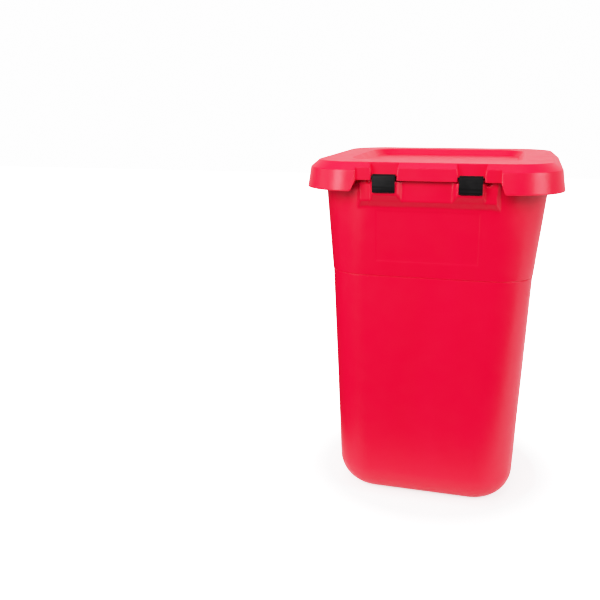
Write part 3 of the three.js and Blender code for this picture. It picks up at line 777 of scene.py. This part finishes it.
def make_lid():
    cols = lid_cols
    T, S, Z = lid_rows(lid_profiles, CHANNEL_HW, CH_R, NOTCH_X, 2.6, True)
    outer = [cols.xyz(T[i], S[i], Z[i]) for i in range(len(T))]

    def plain(w, r, z):
        t, s = cols.ts(w, r)
        return cols.xyz(t, s, z)

    # top land: the splay at the channels dies out going in
    for f, s in ((0.75, 226.0), (0.45, 221.5), (0.15, 214.0), (0.0, 200.0), (0.0, 184.0)):
        t, ss = cols.ts(s, s - LID_C if s > 215 else s - LID_C + (215 - s) * (
            (LID_C - 110.5) / (215 - 172.7)))
        last = T[-1]
        m = (~cols.corner) & ((cols.side == 0) | (cols.side == 2))
        t = np.where(m, t + (last - np.where(m, cols.t, last)) * f, t)
        outer.append(cols.xyz(t, ss, TOP_Z))
    recess_low, c = RECESS_HALF - RECESS_DRAFT, RECESS_HALF - RECESS_R
    top_edge = corner_points((RECESS_HALF + 40, TOP_Z), (RECESS_HALF, TOP_Z),
                             (recess_low, RECESS_Z), 4.2, 9)
    low_edge = corner_points((RECESS_HALF, TOP_Z), (recess_low, RECESS_Z),
                             (recess_low - 40, RECESS_Z), 3.4, 9)
    for s, z in top_edge + line(top_edge[-1], low_edge[0], 4) + low_edge:
        outer.append(plain(s, s - c, z))
    floor = outer[-1]
    for f in (0.96, 0.88, 0.75, 0.55, 0.35, 0.12):
        outer.append(floor * (f, f, 1.0))

    T, S, Z = lid_rows(inner_profiles, CHANNEL_INNER_HW, 0.05, NOTCH_X + 3, 0.05, False)
    inner = [cols.xyz(T[i], S[i], Z[i]) for i in range(len(T))]
    # the foot of the outer skin rounds in by its edge radius; the inner starts there
    for s in (218.0, 200.0, 186.0):
        inner.append(plain(s, s - LID_C if s > 215 else s - LID_C + (215 - s) * (
            (LID_C - 110.5) / (215 - 172.7)), TOP_Z - LID_T))
    up = corner_points((RECESS_HALF + 40, TOP_Z - LID_T), (RECESS_HALF + 2.6, TOP_Z - LID_T),
                       (recess_low + 3.5, RECESS_Z - LID_T), 1.5, 4)
    down = corner_points((RECESS_HALF + 2.6, TOP_Z - LID_T), (recess_low + 3.5, RECESS_Z - LID_T),
                         (recess_low - 40, RECESS_Z - LID_T), 6.0, 7)
    for s, z in up + line(up[-1], down[0], 3) + down:
        inner.append(plain(s, s - c, z))
    under = inner[-1]
    for f in (0.96, 0.8, 0.55, 0.3, 0.12):
        inner.append(under * (f, f, 1.0))
    lid = ring_skin("lid_shell", list(reversed(outer)) + inner)
    return finish_piece(lid, "lid", "lid", RED_LID, 42.0)


make_lid()


# ---------------------------------------------------------------- prisms and turned pieces

def prism(name, outline, holes, x0, x1, side, bevel, segments=3, crown=0.0):
    """A solid along X from an outline in (s, z), with holes through it and its
    edges rounded.  side is -1 for the front and +1 for the back."""
    loops = [outline] + holes
    flat = [p for loop in loops for p in loop]
    tris = tessellate_polygon([[Vector((s, z, 0)) for s, z in loop] for loop in loops])
    n = len(flat)
    verts = [(x0 * MM, side * s * MM, z * MM) for s, z in flat]
    verts += [(x1 * MM, side * s * MM, z * MM) for s, z in flat]
    faces = [list(t) for t in tris] + [[i + n for i in reversed(t)] for t in tris]
    start = 0
    for loop in loops:
        m = len(loop)
        faces += [[start + i, start + (i + 1) % m, n + start + (i + 1) % m, n + start + i]
                  for i in range(m)]
        start += m
    obj = new_object(name, verts, faces)
    if bevel:
        mod = obj.modifiers.new("edges", "BEVEL")
        mod.width = bevel * MM
        mod.segments = segments
        mod.limit_method = "ANGLE"
        mod.angle_limit = math.radians(50)
        mod.use_clamp_overlap = True
        mod.miter_outer = "MITER_ARC"
    return obj


def circle(s, z, r, n=40):
    return [(s + r * math.cos(2 * math.pi * i / n), z + r * math.sin(2 * math.pi * i / n))
            for i in range(n)]


def arc_s(s, z, r, a0, a1, n):
    return [(s + r * math.cos(math.radians(a)), z + r * math.sin(math.radians(a)))
            for a in np.linspace(a0, a1, n + 1)]


def spline(points, n):
    """Catmull-Rom through points, n steps a span."""
    p = np.array([points[0]] + list(points) + [points[-1]], float)
    out = []
    for i in range(1, len(p) - 2):
        for k in range(n):
            u = k / n
            out.append(tuple(0.5 * (2 * p[i] + (p[i + 1] - p[i - 1]) * u
                       + (2 * p[i - 1] - 5 * p[i] + 4 * p[i + 1] - p[i + 2]) * u ** 2
                       + (3 * p[i] - p[i - 1] - 3 * p[i + 1] + p[i + 2]) * u ** 3)))
    return out + [tuple(p[-2])]


def pin(name, x0, x1, s, z, r, side, body, node):
    """A cut length of wire with chamfered ends."""
    ch = 0.5
    rows = []
    n = 48
    for x, rr in ((x0, 0.35 * r), (x0, r - ch - 0.05), (x0 + 0.06, r - ch + 0.05), (x0 + ch, r - 0.03),
                  (x0 + ch + 0.15, r), ((x0 * 2 + x1) / 3, r), ((x0 + x1) / 2, r),
                  ((x0 + 2 * x1) / 3, r), (x1 - ch - 0.15, r),
                  (x1 - ch, r - 0.03), (x1 - 0.06, r - ch + 0.05), (x1, r - ch - 0.05), (x1, 0.35 * r)):
        a = np.linspace(0, 2 * math.pi, n, endpoint=False)
        rows.append(np.column_stack([np.full(n, x), side * s + rr * np.cos(a), z + rr * np.sin(a)]))
    obj = ring_skin(name, rows)
    return finish_piece(obj, body, node, STEEL, 50)


ls, lz, lr = LATCH_PIN
hs, hz, hr = HINGE_PIN
ks, kz, kr = KEEPER_PIN

for label, cx in (("left", -CLIP_X), ("right", CLIP_X)):
    # latch: an eye on the pin, a bowed plate, and a hook inside its foot
    eye = arc_s(ls, lz, LATCH_EYE_R, 0, 232, 30)
    front = spline([(243.5, 702.0), (243.95, 697.0), (244.05, 692.0), (244.0, 688.0),
                    (243.9, 684.0), (243.65, 681.0), (243.2, 677.5), (242.7, 675.3),
                    (241.9, 673.2), (241.3, 672.65), (240.7, 672.5)], 3)
    outline = (eye + [(239.4, 694.2), (239.4, 686.0), (239.4, 679.0), (239.2, 677.3), (238.6, 676.7),
                      (235.3, 676.7), (234.75, 676.4), (234.6, 675.8), (234.6, 674.2),
                      (234.8, 673.55), (235.5, 673.1), (238.0, 672.75)]
               + list(reversed(front))[:-1])
    # the hook is narrower than the plate, so it is its own body on the plate
    plate = (eye + [(239.4, 694.2), (239.4, 680.0), (239.4, 674.0), (239.7, 673.0), (240.2, 672.6)]
             + list(reversed(front))[:-1])
    hook = [(240.8, 678.2), (239.3, 677.6), (238.7, 676.9), (238.0, 676.7), (235.3, 676.7),
            (234.75, 676.4), (234.6, 675.8), (234.6, 674.2), (234.8, 673.55), (235.5, 673.15),
            (238.0, 672.95), (240.8, 672.9)]
    obj = prism(f"latch_{label}_plate", plate, [circle(ls, lz, LATCH_BORE_R)],
                cx - CLIP_W / 2, cx + CLIP_W / 2, -1, 0.75, 4)
    finish_piece(obj, f"latch_{label}", f"latch_{label}", BLACK, 35)
    obj = prism(f"latch_{label}_hook", hook, [], cx - HOOK_W / 2, cx + HOOK_W / 2, -1, 0.35, 2)
    finish_piece(obj, f"latch_{label}", f"latch_{label}", BLACK, 35)
    for i, dx in enumerate((-15.4, 0.0, 15.4)):
        rib = [(240.2, 677.4), (238.75, 678.8), (238.75, 692.5), (239.1, 693.6), (240.2, 694.2)]
        obj = prism(f"latch_{label}_rib_{i + 1}", rib, [], cx + dx - 0.8, cx + dx + 0.8, -1, 0.15, 2)
        finish_piece(obj, f"latch_{label}", f"latch_{label}", BLACK, 35)
    pin(f"latch_pin_{label}_wire", cx - 27.9, cx + 27.9, ls, lz, lr, -1, "lid", f"latch_pin_{label}")

    # hinge clip: an eye round the hinge pin, and a head held in the lid by its keeper pin
    leaf = (arc_s(hs, hz, HINGE_EYE_R, 20, -192, 34)
            + spline([(236.0, 697.4), (234.6, 699.6), (232.6, 701.3), (231.2, 702.6), (230.3, 704.2),
                      (230.1, 706.0)], 2)
            + [(230.1, 711.0), (230.1, 716.8), (230.5, 718.4), (231.6, 719.2), (233.6, 719.55)]
            + spline([(236.0, 719.6), (238.0, 719.2), (239.6, 718.1), (241.0, 716.2), (242.0, 714.0),
                      (243.2, 711.0), (244.4, 707.6), (246.0, 703.6), (248.0, 699.5)], 3))
    obj = prism(f"hinge_clip_{label}_body", leaf,
                [circle(hs, hz, HINGE_BORE_R), circle(ks, kz, kr + 0.3)],
                cx - CLIP_W / 2, cx + CLIP_W / 2, 1, 0.8, 4)
    finish_piece(obj, "lid", f"hinge_clip_{label}", BLACK, 35)
    pin(f"hinge_clip_keeper_pin_{label}_wire", cx - 27.9, cx + 27.9, ks, kz, kr, 1,
        "lid", f"hinge_clip_keeper_pin_{label}")

    # a pair of ears on the tub for each hinge clip
    half = CLIP_W / 2 + EAR_GAP
    ear = (arc_s(hs, hz, EAR_R, 96, -48, 30)
           + spline([(246.0, 684.6), (240.0, 678.4), (232.5, 669.0), (226.4, 662.0), (222.9, 659.0)], 4)
           + [(221.9, 664.0), (222.6, 690.0), (222.6, 698.2)]
           + spline([(225.2, 698.0), (229.0, 698.0), (236.0, 698.75)], 3))
    for j, (a, b) in enumerate(((cx - half - EAR_T, cx - half), (cx + half, cx + half + EAR_T))):
        obj = prism(f"tub_hinge_ear_{label}_{'inner' if (cx < 0) == (j == 1) else 'outer'}", ear,
                    [circle(hs, hz, hr + 0.3)], a, b, 1, 0.9, 3)
        finish_piece(obj, "tub", "tub", RED, 35)
    reach = half + EAR_T + 0.6
    pin(f"hinge_pin_{label}_wire", cx - reach, cx + reach, hs, hz, hr, 1, "tub", f"hinge_pin_{label}")


# locating ribs under the lid, just inside the rim
def rib(name, x0, x1, y0, y1, z0, z1, bevel):
    bm = bmesh.new()
    bmesh.ops.create_cube(bm, size=1.0)
    for v in bm.verts:
        v.co = Vector((x0 + (x1 - x0) * (v.co.x + 0.5), y0 + (y1 - y0) * (v.co.y + 0.5),
                       z0 + (z1 - z0) * (v.co.z + 0.5))) * MM
    long_axis = 0 if abs(x1 - x0) > abs(y1 - y0) else 1
    # lead-in: the free edge is narrower, and its ends slope
    for v in bm.verts:
        if v.co.z < (z0 + z1) / 2 * MM:
            centre = ((x0 + x1) / 2 * MM, (y0 + y1) / 2 * MM)
            other = 1 - long_axis
            v.co[other] = centre[other] + (v.co[other] - centre[other]) * 0.55
            v.co[long_axis] = centre[long_axis] + (v.co[long_axis] - centre[long_axis]) * 0.965
    bmesh.ops.bevel(bm, geom=list(bm.edges), offset=bevel * MM, segments=2, affect="EDGES",
                    profile=0.5)
    mesh = bpy.data.meshes.new(name)
    bm.to_mesh(mesh)
    bm.free()
    obj = bpy.data.objects.new(name, mesh)
    bpy.context.scene.collection.objects.link(obj)
    return finish_piece(obj, "lid", "lid", RED_LID, 40)


rib_in, rib_out = SEAL_IN - 3.8, SEAL_IN - 1.2
rib("lid_locating_rib_front", -108, 108, -rib_out, -rib_in, RIM_Z - 7, TOP_Z - 2.4, 0.4)
rib("lid_locating_rib_left", -rib_out, -rib_in, -108, 90, RIM_Z - 7, TOP_Z - 2.4, 0.4)
rib("lid_locating_rib_right", rib_in, rib_out, -108, 90, RIM_Z - 7, TOP_Z - 2.4, 0.4)

# foam seal: a D section, bonded flat to the lid
seal_cols = Columns(100.0, [spread(-100, 100, [], 10)] * 4, 24)
section = [(SEAL_IN, SEAL_Z1 + 0.2)]
mid, half_w = (SEAL_IN + SEAL_OUT) / 2, (SEAL_OUT - SEAL_IN) / 2
for a in np.linspace(180, 360, 15):
    u = math.radians(a)
    section.append((mid + half_w * math.cos(u), SEAL_Z0 + 3.4 + 3.4 * math.sin(u)))
section.append((SEAL_OUT, SEAL_Z1 + 0.2))
seal_rows = []
for s, z in section:
    t, ss = seal_cols.ts(s, s - SEAL_CENTRE)
    seal_rows.append(seal_cols.xyz(t, ss, z))
finish_piece(ring_skin("lid_seal_strip", seal_rows, loop=True), "lid", "lid_seal",
             RUBBER, 60)

# ---------------------------------------------------------------- stage, light and camera


def studio(name, verts, faces, mat):
    mesh = bpy.data.meshes.new(name)
    mesh.from_pydata(verts, [], faces)
    for p in mesh.polygons:
        p.use_smooth = True
    obj = bpy.data.objects.new(name, mesh)
    bpy.context.scene.collection.objects.link(obj)
    obj.data.materials.append(mat)
    return obj


paper = bpy.data.materials.new("studio_paper")
paper.use_nodes = True
pt = paper.node_tree
pt.nodes.clear()
p_out = pt.nodes.new("ShaderNodeOutputMaterial")
p_sep = pt.nodes.new("ShaderNodeSeparateXYZ")
p_co = pt.nodes.new("ShaderNodeTexCoord")
pt.links.new(p_co.outputs["Object"], p_sep.inputs[0])
p_dist = pt.nodes.new("ShaderNodeVectorMath")
p_dist.operation = "LENGTH"
pt.links.new(p_co.outputs["Object"], p_dist.inputs[0])
p_diff = pt.nodes.new("ShaderNodeBsdfDiffuse")
pt.links.new(mix_colour(pt, noise(pt, p_co.outputs["Object"], 3.0, 2.0), (0.73, 0.73, 0.73),
                        (0.75, 0.75, 0.75)), p_diff.inputs["Color"])
# the floor glows, from nothing at 0.55 m out to 0.25 at 2.2 m: painted light, which also lights the
# object
p_glow = pt.nodes.new("ShaderNodeEmission")
pt.links.new(remap(pt, p_dist.outputs["Value"], 0.55, 2.2, 0.0, 0.25), p_glow.inputs["Strength"])
p_path = pt.nodes.new("ShaderNodeLightPath")
# camera-only glow, weak within 0.24 m of the middle and strong beyond 0.35 m: painted white floor, with
# painted shade left round the base
p_camera_glow = pt.nodes.new("ShaderNodeEmission")
pt.links.new(maths(pt, "MULTIPLY", remap(pt, p_dist.outputs["Value"], 0.24, 0.35, 0.75, 3.0),
                   p_path.outputs["Is Camera Ray"]), p_camera_glow.inputs["Strength"])
p_lit = pt.nodes.new("ShaderNodeAddShader")
pt.links.new(p_glow.outputs[0], p_lit.inputs[0])
pt.links.new(p_camera_glow.outputs[0], p_lit.inputs[1])
p_add = pt.nodes.new("ShaderNodeAddShader")
pt.links.new(p_diff.outputs[0], p_add.inputs[0])
pt.links.new(p_lit.outputs[0], p_add.inputs[1])
# the paper ends in front of the object, and the studio beyond it is dark: only
# the object sees that, the camera looks at paper alone
p_dark = pt.nodes.new("ShaderNodeBsdfDiffuse")
p_dark.inputs["Color"].default_value = (0.01, 0.01, 0.01, 1)
p_front = maths(pt, "MINIMUM", p_sep.outputs["Y"], p_sep.outputs["X"])
p_front = remap(pt, p_front, -0.42, -0.23, 1.0, 0.0)
p_mix = pt.nodes.new("ShaderNodeMixShader")
pt.links.new(maths(pt, "MULTIPLY", p_front, maths(pt, "SUBTRACT", 1.0, p_path.outputs["Is Camera Ray"])),
             p_mix.inputs[0])
pt.links.new(p_add.outputs[0], p_mix.inputs[1])
pt.links.new(p_dark.outputs[0], p_mix.inputs[2])
pt.links.new(p_mix.outputs[0], p_out.inputs["Surface"])
paper.cycles.emission_sampling = "NONE"

size = 7.0
studio("floor", [(-size, -size, -0.0006), (size, -size, -0.0006), (size, size, -0.0006),
                 (-size, size, -0.0006)], [(0, 1, 2, 3)], paper)


def area(name, place, target, w, h, power, glossy=True):
    data = bpy.data.lights.new(name, "AREA")
    data.shape = "RECTANGLE"
    data.size, data.size_y = w, h
    data.energy = power
    obj = bpy.data.objects.new(name, data)
    bpy.context.scene.collection.objects.link(obj)
    obj.location = place
    obj.rotation_euler = (Vector(target) - Vector(place)).to_track_quat("-Z", "Y").to_euler()
    obj.visible_glossy = glossy
    return obj


def polar(azimuth, distance, height):
    a = math.radians(azimuth)
    return (distance * math.sin(a), -distance * math.cos(a), height)


area("left_box", polar(-37, 2.2, 1.2), (0, 0, 0.5), 0.62, 1.6, 30)
area("right_box", polar(67, 2.2, 1.3), (0, 0, 0.5), 1.0, 1.6, 34)
area("overhead", (-0.2, -0.2, 2.8), (0, 0, 0.4), 2.2, 2.0, 46, glossy=False)
area("fill", polar(0, 2.6, 2.1), (0, 0, 0.4), 1.8, 1.4, 70, glossy=False)
area("left_fill", polar(-78, 2.3, 1.1), (0, 0, 0.4), 1.2, 1.4, 25, glossy=False)

area("rear_fill", polar(175, 2.6, 1.7), (0, 0, 0.4), 1.8, 1.4, 46, glossy=False)

world = bpy.data.worlds.new("studio")
bpy.context.scene.world = world
world.use_nodes = True
wt = world.node_tree
wt.nodes.clear()
wo = wt.nodes.new("ShaderNodeOutputWorld")


def sky(strength):
    n = wt.nodes.new("ShaderNodeBackground")
    n.inputs["Strength"].default_value = strength
    return n


w_co = wt.nodes.new("ShaderNodeTexCoord")
w_sep = wt.nodes.new("ShaderNodeSeparateXYZ")
wt.links.new(w_co.outputs["Generated"], w_sep.inputs[0])
seen, around_it = sky(3.0), sky(1.0)
wt.links.new(remap(wt, w_sep.outputs["Y"], 0.25, 0.75, 0.03, 0.95), around_it.inputs["Strength"])
w_path = wt.nodes.new("ShaderNodeLightPath")
mix2 = wt.nodes.new("ShaderNodeMixShader")
wt.links.new(w_path.outputs["Is Camera Ray"], mix2.inputs[0])
wt.links.new(around_it.outputs[0], mix2.inputs[1])
wt.links.new(seen.outputs[0], mix2.inputs[2])
wt.links.new(mix2.outputs[0], wo.inputs["Surface"])
world.cycles.sampling_method = "NONE"

cam_data = bpy.data.cameras.new("camera")
cam_data.sensor_width = 36.0
cam_data.sensor_fit = "HORIZONTAL"
cam_data.lens = 768.3 / 600.0 * 36.0
cam_data.clip_start = 0.05
camera = bpy.data.objects.new("camera", cam_data)
bpy.context.scene.collection.objects.link(camera)
yaw, pitch, roll = math.radians(16.415), math.radians(14.74), math.radians(-0.356)
forward = Vector((-math.sin(yaw) * math.cos(pitch), math.cos(yaw) * math.cos(pitch), -math.sin(pitch)))
right = forward.cross(Vector((0, 0, 1))).normalized()
up = right.cross(forward)
right_r = right * math.cos(roll) + up * math.sin(roll)
up_r = up * math.cos(roll) - right * math.sin(roll)
camera.matrix_world = Matrix((
    (right_r.x, up_r.x, -forward.x, 0.1811),
    (right_r.y, up_r.y, -forward.y, -1.7026),
    (right_r.z, up_r.z, -forward.z, 0.8497),
    (0, 0, 0, 1)))
scene = bpy.context.scene
scene.camera = camera
scene.view_settings.view_transform = "Standard"
scene.view_settings.look = "None"
# a film shoulder: bright tones roll off instead of clipping
scene.view_settings.use_curve_mapping = True
tone = scene.view_settings.curve_mapping
tone.use_clip = False
TONE_WHITE = 2.6
tone.white_level = (TONE_WHITE, TONE_WHITE, TONE_WHITE)
tone_curve = tone.curves[3]
for t_in, t_out in ((0.10, 0.100), (0.25, 0.250), (0.45, 0.455), (0.65, 0.645), (0.85, 0.775),
                    (1.05, 0.850), (1.35, 0.905), (1.8, 0.955)):
    tone_curve.points.new(t_in / TONE_WHITE, t_out)
for tone_point in tone_curve.points:
    tone_point.handle_type = "VECTOR"
tone.update()
